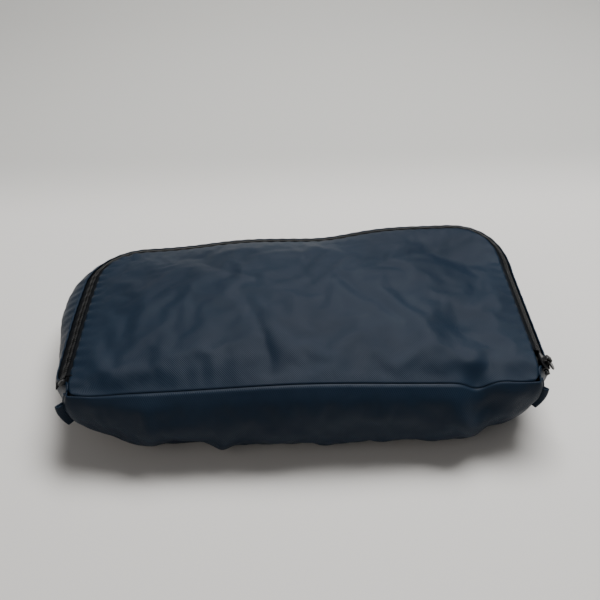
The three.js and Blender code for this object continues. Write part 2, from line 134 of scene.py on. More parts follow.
# Coated nylon oxford: a basket weave, a soft satin sheen and fine handling creases.
# Its threads are about 0.5 mm apart; they are drawn at 1.2 mm, because finer ones don't show.
coated_nylon = woven("coated_nylon_oxford", NAVY, NAVY_WORN, 1.2, 0.13, 0.2, 0.43,
                     {"IOR": 1.5, "Specular IOR Level": 0.14})


def rim(s):
    """The sewing line seen from above: place and outward direction, s mm clockwise from the
    middle of the front left corner."""
    x, y = HALF_LENGTH, HALF_DEPTH
    f, b = FRONT_CORNER, BACK_CORNER
    # an arc has a centre, a radius and two angles; a run has two ends and an outward direction
    legs = [
        ((-x + f, -y + f), f, 225, 180),
        ((-x, -y + f), (-x, y - b), (-1, 0)),
        ((-x + b, y - b), b, 180, 90),
        ((-x + b, y), (x - b, y), (0, 1)),
        ((x - b, y - b), b, 90, 0),
        ((x, y - b), (x, -y + f), (1, 0)),
        ((x - f, -y + f), f, 0, -90),
        ((x - f, -y), (-x + f, -y), (0, -1)),
        ((-x + f, -y + f), f, -90, -135),
    ]
    for leg in legs:
        if len(leg) == 4:
            centre, radius, first, last = leg
            length = abs(math.radians(last - first)) * radius
            if s <= length + 1e-9:
                angle = math.radians(first + (last - first) * s / length)
                nx, ny = math.cos(angle), math.sin(angle)
                return centre[0] + radius * nx, centre[1] + radius * ny, nx, ny
        else:
            start, end, outward = leg
            length = math.hypot(end[0] - start[0], end[1] - start[1])
            if s <= length + 1e-9:
                share = s / length
                px = start[0] + (end[0] - start[0]) * share
                py = start[1] + (end[1] - start[1]) * share
                return px, py, outward[0], outward[1]
        s -= length
    return rim(0.0)


HALF_CORNER = math.pi / 4 * FRONT_CORNER
SIDE = 2 * HALF_DEPTH - FRONT_CORNER - BACK_CORNER
WIDE_ARC = math.pi / 2 * BACK_CORNER
BACK_RUN = 2 * (HALF_LENGTH - BACK_CORNER)
FRONT_STRAIGHT = 2 * (HALF_LENGTH - FRONT_CORNER)
ZIP_RUN = 2 * HALF_CORNER + 2 * SIDE + 2 * WIDE_ARC + BACK_RUN
FULL_RUN = ZIP_RUN + 2 * HALF_CORNER + FRONT_STRAIGHT


def smooth(a, b, x):
    """0 below a, 1 above b, and an easy curve between."""
    t = min(1.0, max(0.0, (x - a) / (b - a)))
    return t * t * (3 - 2 * t)


def bell(x, middle, width):
    """A hump 1 high at the middle, fading over the width."""
    return math.exp(-(((x - middle) / width) ** 2))


def made(name, bm):
    """Turns a bmesh into a smooth piece of the scene."""
    for face in bm.faces:
        face.smooth = True
    mesh = bpy.data.meshes.new(name)
    bm.to_mesh(mesh)
    bm.free()
    piece = bpy.data.objects.new(name, mesh)
    bpy.context.collection.objects.link(piece)
    return piece


def cut_sheet(name, columns, rows, spot, size, weld=False):
    """A sheet of cloth as a grid; spot(u, v) gives a corner's place in mm, and size is the cut's
    width and height in mm, which its threads follow."""
    bm = bmesh.new()
    bmesh.ops.create_grid(bm, x_segments=columns, y_segments=rows, size=0.5)
    threads = bm.loops.layers.uv.new("cut")
    for face in bm.faces:
        for loop in face.loops:
            u, v = loop.vert.co.x + 0.5, loop.vert.co.y + 0.5
            loop[threads].uv = (u * size[0] * MM, v * size[1] * MM)
    for vert in bm.verts:
        vert.co = Vector(spot(vert.co.x + 0.5, vert.co.y + 0.5)) * MM
    if weld:
        bmesh.ops.remove_doubles(bm, verts=bm.verts, dist=1e-6)
    return made(name, bm)


def stand_for(piece, body, node):
    """Lets a piece ride on a body in place of a CAD node, which it hides."""
    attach(piece, body)
    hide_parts(node)


def sew(piece, material, thick, subdivide=0):
    """Gives a sheet its thickness and its cloth."""
    if subdivide:
        finer = piece.modifiers.new("finer", "SUBSURF")
        finer.levels = finer.render_levels = subdivide
        finer.boundary_smooth = "PRESERVE_CORNERS"
    wall = piece.modifiers.new("thickness", "SOLIDIFY")
    wall.thickness = thick * MM
    wall.offset = 0.0
    piece.data.materials.clear()
    piece.data.materials.append(material)


def rounded(u, v, x, y0, y1, front, back):
    """Maps the unit square onto a panel with rounded corners."""
    middle, half = (y0 + y1) / 2, (y1 - y0) / 2
    px, py = (2 * u - 1) * x, (2 * v - 1) * half
    reach = max(abs(px) / x, abs(py) / half)
    if reach < 1e-9:
        return 0.0, middle
    ex, ey = px / reach, py / reach
    radius = front if ey < 0 else back
    cx, cy = x - radius, half - radius
    scale = 1.0
    if abs(ex) > cx and abs(ey) > cy:
        # the ray towards (ex, ey) meets the corner's arc
        a = ex * ex + ey * ey
        b = abs(ex) * cx + abs(ey) * cy
        c = cx * cx + cy * cy - radius * radius
        inside = b * b - a * c
        if inside > 0:
            scale = min(1.0, (b + math.sqrt(inside)) / a)
    return px * scale, middle + py * scale


def base_spot(u, v):
    """The base reaches 0.2 mm under the walls' feet."""
    x, y = rounded(u, v, HALF_LENGTH - TUCK + 0.2, -HALF_DEPTH + TUCK - 0.2,
                   HALF_DEPTH - TUCK + 0.2, BASE_FRONT_CORNER, BASE_BACK_CORNER)
    return x, y, CLOTH / 2


base = cut_sheet("base_cloth", 60, 30, base_spot, (262, 122))
sew(base, coated_nylon, CLOTH)
stand_for(base, "case", "base_panel")

# ---- Walls ----
# The front wall is one strip of the same nylon from the base to the hinge seam. The gusset is
# another, round the left end, the back and the right end. Both are limp, so they belly and fold.
SEAM_Z = 50.0
ZIP_Z = 50.4
ZIP_IN = 4.9  # middle of the zip band, inside the sewing line
TILT = math.radians(42)  # slope of the zip band where the slider runs
FLATTER = math.radians(16)  # it lies this much flatter elsewhere
RIPPLE = 8.2  # length of one ripple that the zip's stitching draws into the cloth
NIP = 0.2  # the walls end this far outside the lid's edge
LID_IN = 9.3
LID_SIDE = HALF_LENGTH - LID_IN
LID_FRONT = -HALF_DEPTH
LID_BACK = HALF_DEPTH - LID_IN


def side_of(s):
    """Distance along the run from the nearer front corner's middle: negative on the front."""
    return min(s, ZIP_RUN - s)


def band_wave(s):
    """How far the zip rises or sinks along its run: still where the slider runs."""
    left = 1 - smooth(HALF_CORNER + SIDE - 10, HALF_CORNER + SIDE + 40, s)
    back = smooth(110, 170, s) * (1 - smooth(400, 440, s))
    return 0.3 * math.sin(2 * math.pi * s / RIPPLE) * (left + 0.6 * back)


def raised(x, y):
    """The right back corner stands up and the left back corner sinks, where the load sits."""
    up = 9.0 * smooth(28, 66, y) * smooth(-50, 115, x)
    down = 4.5 * smooth(-10, 60, y) * (1 - smooth(-110, -20, x))
    wave = 1.6 * bell(x, -42, 26) - 2.2 * bell(x, 18, 22) + 1.2 * bell(x, 63, 25)
    return up - down + wave * smooth(38, 60, y)


def band(s, to_lid, above):
    """A point of the tilted zip band, in mm. It lies flatter all the way to the slider's run."""
    x, y, nx, ny = rim(s)
    tilt = TILT - FLATTER * smooth(4, 24, s) * (1 - smooth(385, 432, s))
    n = -ZIP_IN - to_lid * math.cos(tilt) + above * math.sin(tilt)
    z = ZIP_Z + to_lid * math.sin(tilt) + above * math.cos(tilt) + band_wave(s)
    return x + n * nx, y + n * ny, z + raised(x - LID_IN * nx, y - LID_IN * ny)


def seam_height(x):
    """The hinge seam's height along the front: a soft arch, with one pinched dip."""
    lift = 3.6 * bell(x, 0, 62) - 4.6 * bell(x, 97, 7) + 1.0 * bell(x, 112, 6)
    lift -= 1.0 * bell(x, -118, 14)
    return SEAM_Z + lift * (1 - smooth(118, 131, abs(x)))


def lid_rim_height(x, y):
    """The lid's edge climbs from the hinge seam to the zip band near the front corners."""
    side = 52.6 + 1.8 * smooth(100, 125, x) * (1 - smooth(34, 70, y))
    front = seam_height(x)
    return front + (side - front) * smooth(LID_FRONT, LID_FRONT + 13, y) + raised(x, y)


def wall_top(s):
    """The upper edge of the walls: along the zip tape, closing on the lid at the corners."""
    x, y, nx, ny = rim(s)
    if s <= ZIP_RUN:
        open_edge = Vector(band(s, -5.4, 0.7))
        near = side_of(s)
        closed = 1 - smooth(HALF_CORNER - 4, HALF_CORNER + 4.5, near)
        edge_x = math.copysign(LID_SIDE + NIP, x)
        tucked = Vector((edge_x, y, lid_rim_height(x, y) - NIP))
        return open_edge.lerp(tucked, closed)
    corner = smooth(LID_SIDE - 6, HALF_LENGTH - 3.4, abs(x))
    top_x = math.copysign(min(abs(x), LID_SIDE + NIP), x)
    top = Vector((top_x, LID_FRONT - NIP + (y - LID_FRONT) * corner, seam_height(x)))
    top.z += (lid_rim_height(x, top.y) - seam_height(x)) * corner
    return top


def belly(s):
    """How far the wall's upper part is pulled outwards, and the height it is pulled at."""
    left, right = bell(s, 90, 38), bell(s, 455, 70)
    ahead = smooth(ZIP_RUN + 6, ZIP_RUN + 60, s) * (1 - smooth(FULL_RUN - 60, FULL_RUN - 6, s))
    out = 15 + 19 * left - 7 * right + 15 * ahead - 5 * cornered(s) - 5 * bell(s, 26, 18)
    up = 28 + 5 * left - 10 * ahead + 3 * cornered(s)
    out += 1.8 * noise.noise(Vector((s / 46.0, 3.1, 0)))
    return out, up


def cornered(s):
    """1 at the two front corners, 0 away from them."""
    near = min(s, FULL_RUN - s, abs(s - ZIP_RUN))
    return 1 - smooth(2, 44, near)


def foot(x, y):
    """Where a wall leaves the base, below a point of the sewing line."""
    px, py = x / HALF_LENGTH, y / HALF_DEPTH
    reach = 2 * max(abs(px), abs(py))
    fx, fy = rounded(0.5 + px / reach, 0.5 + py / reach, HALF_LENGTH - TUCK,
                     -HALF_DEPTH + TUCK, HALF_DEPTH - TUCK, BASE_FRONT_CORNER, BASE_BACK_CORNER)
    return Vector((fx, fy, CLOTH / 2 + 0.2))


def wall_spot(s, v):
    """A point of a wall, and the way it faces: v is 0 at the base seam and 1 at the top edge.
    The wall's section is one curve: it lies almost flat at the foot and is pulled out above."""
    x, y, nx, ny = rim(s)
    out, up = belly(s)
    top = wall_top(s)
    root = foot(x, y)
    low = Vector((x - root.x, y - root.y, 0)).normalized() * 6 + root + Vector((0, 0, 2))
    pull = Vector((x + out * nx, y + out * ny, up))
    w = 1 - v
    point = root * w**3 + low * (3 * w * w * v) + pull * (3 * w * v * v) + top * v**3
    slope = (low - root) * (3 * w * w) + (pull - low) * (6 * w * v) + (top - pull) * (3 * v * v)
    rise, run = slope.z, slope.x * nx + slope.y * ny
    size = math.hypot(rise, run) or 1.0
    face = Vector((nx * rise / size, ny * rise / size, -run / size))
    return point, face


def crumple(place, size, seed):
    """A gentle random lean, the same on every run."""
    return noise.fractal(Vector((place.x / size, place.y / size, place.z / size + seed)), 1.0, 2.0, 3)


def fold_height(folds, x, along):
    """The height of a panel's folds. Each one is a ridge, or a dent where its height is negative:
    height, middle x, half width, its middle and half length along, lean, and where it leans about."""
    total = 0.0
    for high, middle, wide, centre, long, lean, about in folds:
        total += high * bell(x + lean * (along - about), middle, wide) * bell(along, centre, long)
    return total


# Folds that handling left in the front wall: heights and widths in mm, v along.
FRONT_FOLDS = [
    (2.6, -88, 6, 0.72, 0.22, 0, 0),
    (-3.6, -72, 15, 0.48, 0.16, 0, 0),
    (2.4, -48, 5, 0.5, 0.2, -18, 0.5),
    (1.8, 8, 9, 0.45, 0.2, 25, 0.5),
    (-2.2, 42, 20, 0.72, 0.1, 0, 0),
    (3.4, 88, 7, 0.72, 0.16, 40, 0.8),
    (-3.0, 104, 9, 0.86, 0.1, 0, 0),
    (1.6, 118, 7, 0.6, 0.25, 0, 0),
]


def front_spot(u, v):
    """The front wall, with its folds and the rolled edge under the hinge seam."""
    s = ZIP_RUN + 0.4 + (FULL_RUN - ZIP_RUN - 0.8) * u
    point, face = wall_spot(s, v)
    x = point.x
    out = fold_height(FRONT_FOLDS, x, v) + 1.5 * crumple(point, 22.0, 4.0) * math.sin(math.pi * v)
    roll = bell(v, 0.93, 0.045) * (1 - smooth(112, 130, abs(x)))
    return point + face * out + Vector((0, -0.5, 0.5)) * roll


def gusset_spot(u, v):
    """The gusset, puckered along the zip's stitching."""
    s = 0.4 + (ZIP_RUN - 0.8) * u
    point, face = wall_spot(s, v)
    pucker = 0.12 * math.sin(2 * math.pi * s / RIPPLE) * smooth(0.7, 0.95, v)
    out = 1.4 * crumple(point, 30.0, 9.0) * math.sin(math.pi * v) + pucker
    return point + face * out


def settle(piece, held, frames, grow, bend):
    """Lets a limp panel, cut a little larger than its frame, buckle into creases while its seams
    are held; held(index) is 1 on a seam and small where the cloth is free."""
    seam = piece.vertex_groups.new(name="seam")
    for vert in piece.data.vertices:
        seam.add([vert.index], held(vert.index), "REPLACE")
    cloth = piece.modifiers.new("settle", "CLOTH")
    rule = cloth.settings
    rule.vertex_group_mass = seam.name
    rule.quality = 7
    rule.mass = 0.12
    rule.tension_stiffness = rule.compression_stiffness = 18
    rule.shear_stiffness = 8
    rule.bending_stiffness = bend
    rule.bending_damping = 1.0
    rule.pin_stiffness = 1.0
    rule.shrink_min = -grow
    rule.effector_weights.gravity = 0.0
    cloth.collision_settings.use_collision = False
    cloth.point_cache.frame_start, cloth.point_cache.frame_end = 1, frames
    for step in range(1, frames + 1):
        bpy.context.scene.frame_set(step)
    settled = piece.evaluated_get(bpy.context.evaluated_depsgraph_get())
    mesh = bpy.data.meshes.new_from_object(settled)
    piece.modifiers.clear()
    piece.vertex_groups.clear()
    old, piece.data = piece.data, mesh
    bpy.data.meshes.remove(old)
    mesh.name = piece.name
    bpy.context.scene.frame_set(1)


def at_edge(columns, rows, free):
    """Holds the border of a grid of this many cells, and eases inwards over two rows."""
    def held(index):
        column, row = index % (columns + 1), index // (columns + 1)
        steps = min(column, row, columns - column, rows - row)
        return 1.0 if steps == 0 else max(free, 0.6 if steps == 1 else free)
    return held


front = cut_sheet("front_wall_cloth", 110, 26, front_spot, (278, 62))
settle(front, at_edge(110, 26, 0.15), frames=20, grow=0.012, bend=2.0)
sew(front, coated_nylon, CLOTH, subdivide=1)
stand_for(front, "case", "front_wall")

gusset = cut_sheet("gusset_cloth", 200, 24, gusset_spot, (534, 57))
settle(gusset, at_edge(200, 24, 0.2), frames=16, grow=0.008, bend=3.0)
sew(gusset, coated_nylon, CLOTH, subdivide=1)
stand_for(gusset, "case", "zip_gusset")

# ---- Lid ----
# The lid is one panel of the nylon, sewn to the front wall along the hinge seam and to the zip
# tape on its other three sides. What the pouch holds crowns it, and it is creased from handling.
CROWN = 14.0


def lid_height(x, y):
    """The crowned lid over a point of the plan, before its folds."""
    middle, half = (LID_FRONT + LID_BACK) / 2, (LID_BACK - LID_FRONT) / 2
    fx = 1 - min(1.0, abs(x) / LID_SIDE) ** 2.6
    fy = 1 - min(1.0, abs(y - middle) / half) ** 2.4
    slack = 3.0 * bell(x, 95, 60) * bell(y, 40, 30) * min(1.0, 2.5 * fx * fy)
    return lid_rim_height(x, y) + CROWN * fx * fy - slack


# The lid's soft ridges and dents, in mm, with y along.
LID_FOLDS = [
    (2.0, -112, 9, -50, 26, 0.9, -60),
    (-1.1, -33, 5, -48, 22, 0.23, 0),
    (0.9, -23, 8, -46, 24, 0.23, 0),
    (4.2, 76, 22, 38, 22, 0.2, 0),
    (-4.0, 94, 11, -29, 11, 0, 0),
    (2.2, 72, 10, -44, 14, 0, 0),
    (-2.6, 88, 6, -66, 5, 0, 0),
    (-2.2, 106, 6, -64, 6, 0, 0),
    (2.0, 97, 5, -62, 9, 0, 0),
    (2.4, 124, 6, -7, 9, 0, 0),
    (-1.8, 110, 6, 2, 13, -0.3, 0),
    (-0.9, 30, 5, 6, 12, 0.6, 0),
    (0.8, 12, 5, 12, 12, -0.7, 0),
    (-0.9, -4, 5, 34, 12, -0.4, 0),
    (0.8, 48, 6, -14, 14, 0.5, 0),
]


def lid_top(x, y):
    """The lid with its folds, which fade out towards its seams."""
    u, v = 0.5 + 0.5 * x / LID_SIDE, (y - LID_FRONT) / (LID_BACK - LID_FRONT)
    loose = min(1.0, max(0.0, 16 * u * (1 - u)), max(0.0, 8 * v * (1 - v)))
    fine = 0.9 * crumple(Vector((x, y, 0)), 34.0, 2.0)
    return lid_height(x, y) + loose * (fold_height(LID_FOLDS, x, y) + fine)


def lid_spot(u, v):
    """The lid panel, whose edge is drawn into scallops by the zip's stitching."""
    x, y = rounded(u, v, LID_SIDE, LID_FRONT, LID_BACK, 6, BACK_CORNER - LID_IN)
    z = lid_top(x, y)
    edge = min(u * 2 * LID_SIDE, (1 - u) * 2 * LID_SIDE, (1 - v) * (LID_BACK - LID_FRONT))
    run = y if min(u, 1 - u) * 2 < 1 - v else x
    scallop = (0.35 + 0.3 * (x < -110)) * (1 + noise.noise(Vector((run / 20, 0, 5))))
    z += scallop * math.sin(2 * math.pi * run / RIPPLE) * bell(edge, 0, 5)
    return x, y, z


lid = cut_sheet("lid_cloth", 120, 60, lid_spot, (266, 135))
settle(lid, at_edge(120, 60, 0.12), frames=20, grow=0.005, bend=4.0)
sew(lid, coated_nylon, CLOTH, subdivide=1)
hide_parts("lid_panel")
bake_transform(lid)

# ---- Zip ----
# A continuous coil zip: two woven polyester tapes, each with a coil of nylon teeth along its
# inner edge. One tape is sewn to the gusset and one to the lid.
CHAIN = 1.9  # outer edge of a coil from the band's middle
TAPE = 0.6
TAPE_EDGE = 7.0
UNDER_COIL = 0.5  # a tape's inner edge ends this far under its coil
TAPE_ROOM = TAPE_EDGE - CHAIN + UNDER_COIL

# Woven polyester tape: matt, with ribs a millimetre apart.
polyester_tape = woven("woven_polyester_tape", "#0a0c0f", "#0e1115", 1.0, 0.08, 0.12, 0.85,
                       {"IOR": 1.48, "Specular IOR Level": 0.1})


def zip_tape(name, node, body, start, stop, across):
    """One tape of the zip; across(s, v) is its point at s mm along the band."""
    piece = cut_sheet(name, 240, 3, lambda u, v: across(start + (stop - start) * u, v),
                      (stop - start, 5))
    sew(piece, polyester_tape, TAPE)
    stand_for(piece, body, node)


def case_side(s, v):
    """The tape on the gusset's side, whose outer edge dips under the cloth."""
    return band(s, -TAPE_EDGE + TAPE_ROOM * v, -0.1 - 0.9 * bell(v, 0, 0.4))


def lid_side(s, v):
    """The tape on the lid's side, whose outer edge sags under the lid."""
    return band(s, CHAIN - UNDER_COIL + TAPE_ROOM * v, -0.1 - 3.4 * bell(v, 1, 0.33))


TAPE_START = HALF_CORNER - 2.0
CASE_STOP = ZIP_RUN - TAPE_START
LID_STOP = ZIP_RUN - HALF_CORNER - 10.5
zip_tape("zip_tape_case_cloth", "zip_tape_case", "case", TAPE_START, CASE_STOP, case_side)
zip_tape("zip_tape_lid_cloth", "zip_tape_lid", "lid", HALF_CORNER + 1, LID_STOP, lid_side)


def uneven_gloss(tree, body, scale, detail, low, high):
    """Varies a hard surface's roughness from 0.34 to 0.5, as handling leaves it."""
    place = add(tree, "ShaderNodeTexCoord")
    scuffs = add(tree, "ShaderNodeTexNoise", {"Scale": scale, "Detail": detail},
                 {"Vector": place.outputs["Object"]})
    rough = add(tree, "ShaderNodeMapRange", {1: low, 2: high, 3: 0.34, 4: 0.5},
                {0: scuffs.outputs["Fac"]})
    tree.links.new(rough.outputs[0], body.inputs["Roughness"])


# Nylon coil, wound and pressed: black, slightly glossy loops 1.4 mm apart, with fine scuffs.
coil_nylon, coil_tree, coil_body = finish("wound_nylon_coil", {
    "Base Color": linear("#08090b"), "Roughness": 0.42, "IOR": 1.53})
uneven_gloss(coil_tree, coil_body, 900.0, 2.0, 0.3, 0.7)

TOOTH_PITCH = 1.4
TOOTH_SIZE = (0.95, 1.5, 1.5)
TOOTH_MIDDLE = 1.15  # from the band's middle
TOOTH_LIFT = 0.15


def coil(name, start, stop, side, body, node):
    """Rows of flattened loops, each a small bevelled bar across the tape's inner edge."""
    bm = bmesh.new()
    s = start + (0.0 if side > 0 else TOOTH_PITCH / 2)
    while s < stop:
        middle = side * TOOTH_MIDDLE
        here = Vector(band(s, middle, TOOTH_LIFT))
        behind = Vector(band(s - 0.5, middle, TOOTH_LIFT))
        along = (Vector(band(s + 0.5, middle, TOOTH_LIFT)) - behind).normalized()
        across = (Vector(band(s, middle + 1, TOOTH_LIFT)) - here).normalized()
        up = along.cross(across).normalized()
        tooth = bmesh.ops.create_cube(bm, size=1.0)["verts"]
        turn = Matrix((along, across, up)).transposed().to_4x4()
        size = Matrix.Diagonal((*TOOTH_SIZE, 1.0))
        lean = Matrix.Rotation(math.radians(14 * side), 4, "Z")
        place = Matrix.Translation(here * MM) @ Matrix.Scale(MM, 4)
        bmesh.ops.transform(bm, matrix=place @ turn @ lean @ size, verts=tooth)
        s += TOOTH_PITCH
    bmesh.ops.bevel(bm, geom=bm.edges[:], offset=0.28 * MM, segments=1, affect="EDGES",
                    profile=0.5, material=-1, offset_type="OFFSET")
    piece = made(name, bm)
    piece.data.materials.append(coil_nylon)
    stand_for(piece, body, node)


coil("case_coil_teeth", TAPE_START + 1, CASE_STOP - 1, -1, "case", "zip_coil_case")
coil("lid_coil_teeth", HALF_CORNER + 1, LID_STOP, 1, "lid", "zip_coil_lid")

# ---- Slider, ring pull and stops ----
# The slider is a small zinc casting, painted satin black, with an arch across its top. The ring
# of the pull goes through the arch. A pressed stop closes each end of the coil.

# Satin black paint on cast zinc: an even, low gloss that wears a little shinier in spots.
black_paint, paint_tree, paint_body = finish("satin_black_paint_on_zinc", {
    "Base Color": linear("#0b0c0e"), "Metallic": 0.0, "Roughness": 0.4, "IOR": 1.52,
    "Specular IOR Level": 0.35, "Coat Weight": 0.1, "Coat Roughness": 0.2})
uneven_gloss(paint_tree, paint_body, 600.0, 4.0, 0.35, 0.7)


def softened(node, body, edge):
    """A copy of a CAD piece with its doubles merged and its edges rounded, or smoothed all over
    where edge is 0."""
    bm = bmesh.new()
    bm.from_mesh(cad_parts[node].data)
    bmesh.ops.remove_doubles(bm, verts=bm.verts, dist=1e-6)
    bmesh.ops.dissolve_limit(bm, angle_limit=math.radians(1), verts=bm.verts, edges=bm.edges)
    piece = made(node + "_cast", bm)
    piece.data.materials.clear()
    piece.data.materials.append(black_paint)
    if edge:
        bevel = piece.modifiers.new("rounded", "BEVEL")
        bevel.width, bevel.segments, bevel.limit_method = edge * MM, 2, "ANGLE"
        bevel.angle_limit = math.radians(40)
        bevel.use_clamp_overlap = True
    else:
        finer = piece.modifiers.new("finer", "SUBSURF")
        finer.levels = finer.render_levels = 1
    stand_for(piece, body, node)


softened("zip_slider", "slider", 0.18)
softened("pull_ring", "ring", 0)
softened("zip_bottom_stop", "case", 0.3)
softened("zip_top_stop", "case", 0.3)

# ---- Tabs and corner seams ----
# A short folded tab of nylon is caught in the seam at each front corner, and a narrow bound seam
# runs down the corner below the zip.
TAB_HIGH = 16
SEAM_WIDE = 3.0


def tab(name, node, s, lean, long):
    """A strip folded over itself, standing out from the upper part of the corner seam. It was cut
    2.8 times as long as it stands out."""
    x, y, nx, ny = rim(s)
    side = Vector((-ny, nx, 0))

    def spot(u, v):
        root, _ = wall_spot(s, 0.62 + 0.25 * v)
        fold, out = math.cos(math.pi * u), math.sin(math.pi * u)
        reach = long * (1 - (1 - out) ** 2.2) - 1.0
        return root + Vector((nx, ny, 0)) * reach + side * (fold * 0.9 + lean * out * (0.6 - v))

    flat = (2.8 * long, TAB_HIGH)
    piece = cut_sheet(name, 24, 12, spot, flat)
    sew(piece, coated_nylon, 0.9, subdivide=1)
    stand_for(piece, "case", node)


tab("left_tab_cloth", "left_tab", 0.0, 2.0, 6.2)
tab("right_tab_cloth", "right_tab", ZIP_RUN, -2.0, 4.4)


def corner_seam(name, node, s):
    """A low rounded strip down the outside of a corner."""
    x, y, nx, ny = rim(s)
    side = Vector((-ny, nx, 0))

    def spot(u, v):
        point, face = wall_spot(s, 0.04 + 0.93 * v)
        return point + side * (u - 0.5) * SEAM_WIDE + face * (0.75 - 0.55 * (2 * u - 1) ** 2)

    piece = cut_sheet(name, 6, 40, spot, (3.2, 70))
    sew(piece, coated_nylon, 0.6, subdivide=1)
    stand_for(piece, "case", node)


corner_seam("left_corner_seam", "corner_binding_left", 0.0)
corner_seam("right_corner_seam", "corner_binding_right", ZIP_RUN)

# ---- Linings ----
# A thin cloth is sewn loosely inside every panel. It hides the raw edges of the shell and gives
# the inside its paler colour.
LINING = 0.5
LINING_IN = 15  # the base's lining ends this far inside the sewing line

# Plain polyester lining: smooth and slightly bright. Its threads are about 0.2 mm apart; they are
# drawn at 0.6 mm, because finer ones don't show.
lining_cloth = woven("plain_polyester_lining", "#3b424b", "#454d57", 0.6, 0.03, 0.5, 0.62,
                     {"IOR": 1.48, "Sheen Weight": 0.15, "Sheen Roughness": 0.5})


def lining_of(s, v):
    """A lining point well inside its wall, following the front wall's folds."""
    high = 0.15 + 0.74 * v
    point, face = wall_spot(s, high)
    fold = fold_height(FRONT_FOLDS, point.x, high) if s > ZIP_RUN else 0.0
    return point + face * (fold - 4.0)


def wall_lining(name, node, start, stop, columns):
    """The lining of the walls between two places along the run."""
    piece = cut_sheet(name, columns, 16, lambda u, v: lining_of(start + (stop - start) * u, v),
                      (stop - start, 40))
    sew(piece, lining_cloth, LINING)
    stand_for(piece, "case", node)


wall_lining("gusset_lining_cloth", "gusset_lining", 1.5, ZIP_RUN - 1.5, 160)
wall_lining("front_lining_cloth", "front_wall_lining", ZIP_RUN + 1.5, FULL_RUN - 1.5, 80)


def base_lining_spot(u, v):
    """The base's lining, lying slightly uneven."""
    x, y = rounded(u, v, HALF_LENGTH - LINING_IN, -HALF_DEPTH + LINING_IN,
                   HALF_DEPTH - LINING_IN, BASE_FRONT_CORNER - 3, BASE_BACK_CORNER - 5)
    return x, y, 1.35 + 0.12 * crumple(Vector((x, y, 0)), 30.0, 6.0)


base_lining = cut_sheet("base_lining_cloth", 60, 30, base_lining_spot, (254, 114))
sew(base_lining, lining_cloth, LINING)
stand_for(base_lining, "case", "base_lining")


def under_lid(x, y, lower):
    """A place below the lid's cloth, in mm."""
    return x, y, lid_top(x, y) - lower


def lid_lining_spot(u, v):
    """The lid's lining, hanging a little slack."""
    x, y = rounded(u, v, LID_SIDE - 5, LID_FRONT + 6.5, LID_BACK - 5, 4, 23)
    x, y, z = under_lid(x, y, 4.4)
    return x, y, z + 0.4 * crumple(Vector((x, y, 0)), 24.0, 7.0)


lid_lining = cut_sheet("lid_lining_cloth", 80, 40, lid_lining_spot, (256, 124))
sew(lid_lining, lining_cloth, LINING)
stand_for(lid_lining, "lid", "lid_lining")

# ---- Bindings ----
# Polyester tape is folded over the raw edges of the seams inside and sewn down, so that they
# don't fray: round the base, round the lid and along the hinge seam.
BINDING = 0.8
BINDING_IN = 12  # the base's tape starts this far inside the sewing line
HINGE_TAPE_HALF = HALF_LENGTH - 14


def round_edge(u):
    """A place on the unit square's edge, u of the way round it."""
    angle = 2 * math.pi * u
    square = max(abs(math.cos(angle)), abs(math.sin(angle)))
    return 0.5 + 0.5 * math.cos(angle) / square, 0.5 + 0.5 * math.sin(angle) / square


def base_binding_spot(u, v):
    """The tape lies on the base's lining, inside the walls."""
    across, along = round_edge(u)
    inner = BINDING_IN + 3 * v
    x, y = rounded(across, along, HALF_LENGTH - inner, -HALF_DEPTH + inner, HALF_DEPTH - inner,
                   BASE_FRONT_CORNER - 2, BASE_BACK_CORNER - 1)
    return x, y, 1.7 + 0.5 * math.sin(math.pi * v)


def lid_binding_spot(u, v):
    """The tape follows the lid's edge, set back behind the hinge seam."""
    across, along = round_edge(u)
    x, y = rounded(across, along, LID_SIDE - 2.5 - 3 * v, LID_FRONT + 8 + 3 * v,
                   LID_BACK - 2.5 - 3 * v, 5, 26)
    return under_lid(x, y, 1.9)


def looped(name, node, body, columns, spot, length):
    """A closed loop of tape."""
    piece = cut_sheet(name, columns, 3, spot, (length, 3), weld=True)
    sew(piece, polyester_tape, BINDING)
    stand_for(piece, body, node)


looped("base_seam_binding", "base_binding", "case", 200, base_binding_spot, 740)
looped("lid_seam_binding", "lid_binding", "lid", 240, lid_binding_spot, 760)


def hinge_binding_spot(u, v):
    """A straight tape inside the front wall, just below the hinge seam."""
    x = (2 * u - 1) * HINGE_TAPE_HALF
    return x, LID_FRONT + 3 + 0.4 * math.sin(math.pi * v), SEAM_Z - 7.4 + 4 * v


front_tape = cut_sheet("hinge_seam_binding", 80, 3, hinge_binding_spot, (256, 4))
sew(front_tape, polyester_tape, BINDING)
stand_for(front_tape, "case", "front_seam_binding")

# ---- Pockets ----
# Flat pockets for papers and cards are sewn to the base's lining, and a mesh pocket with a bound
# hem to the lid's. The pockets are of the lining's cloth.

# Open polyester mesh: matt and dark. Its openings are about 1 mm apart; they are drawn at 1.6 mm.
mesh_cloth = woven("open_polyester_mesh", "#1f252b", "#2a3138", 1.6, 0.3, 0.3, 0.7,
                   {"IOR": 1.48, "Sheen Weight": 0.2, "Sheen Roughness": 0.5})


def flat_pocket(name, node, material, thick):
    """A flat sheet over the place of its CAD piece, with a soft rise in its middle."""
    low, high = (Vector(c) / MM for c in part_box(node))
    size = high - low

    def spot(u, v):
        rise = 0.12 * math.sin(math.pi * u) * math.sin(math.pi * v)
        return low.x + size.x * u, low.y + size.y * v, (low.z + high.z) / 2 + rise

    columns, rows = (max(4, int(length / 4)) for length in (size.x, size.y))
    piece = cut_sheet(name, columns, rows, spot, (size.x, size.y))
    sew(piece, material, thick)
    stand_for(piece, "case", node)
    bevel = piece.modifiers.new("rounded", "BEVEL")
    bevel.width, bevel.segments, bevel.limit_method = 0.12 * MM, 1, "ANGLE"


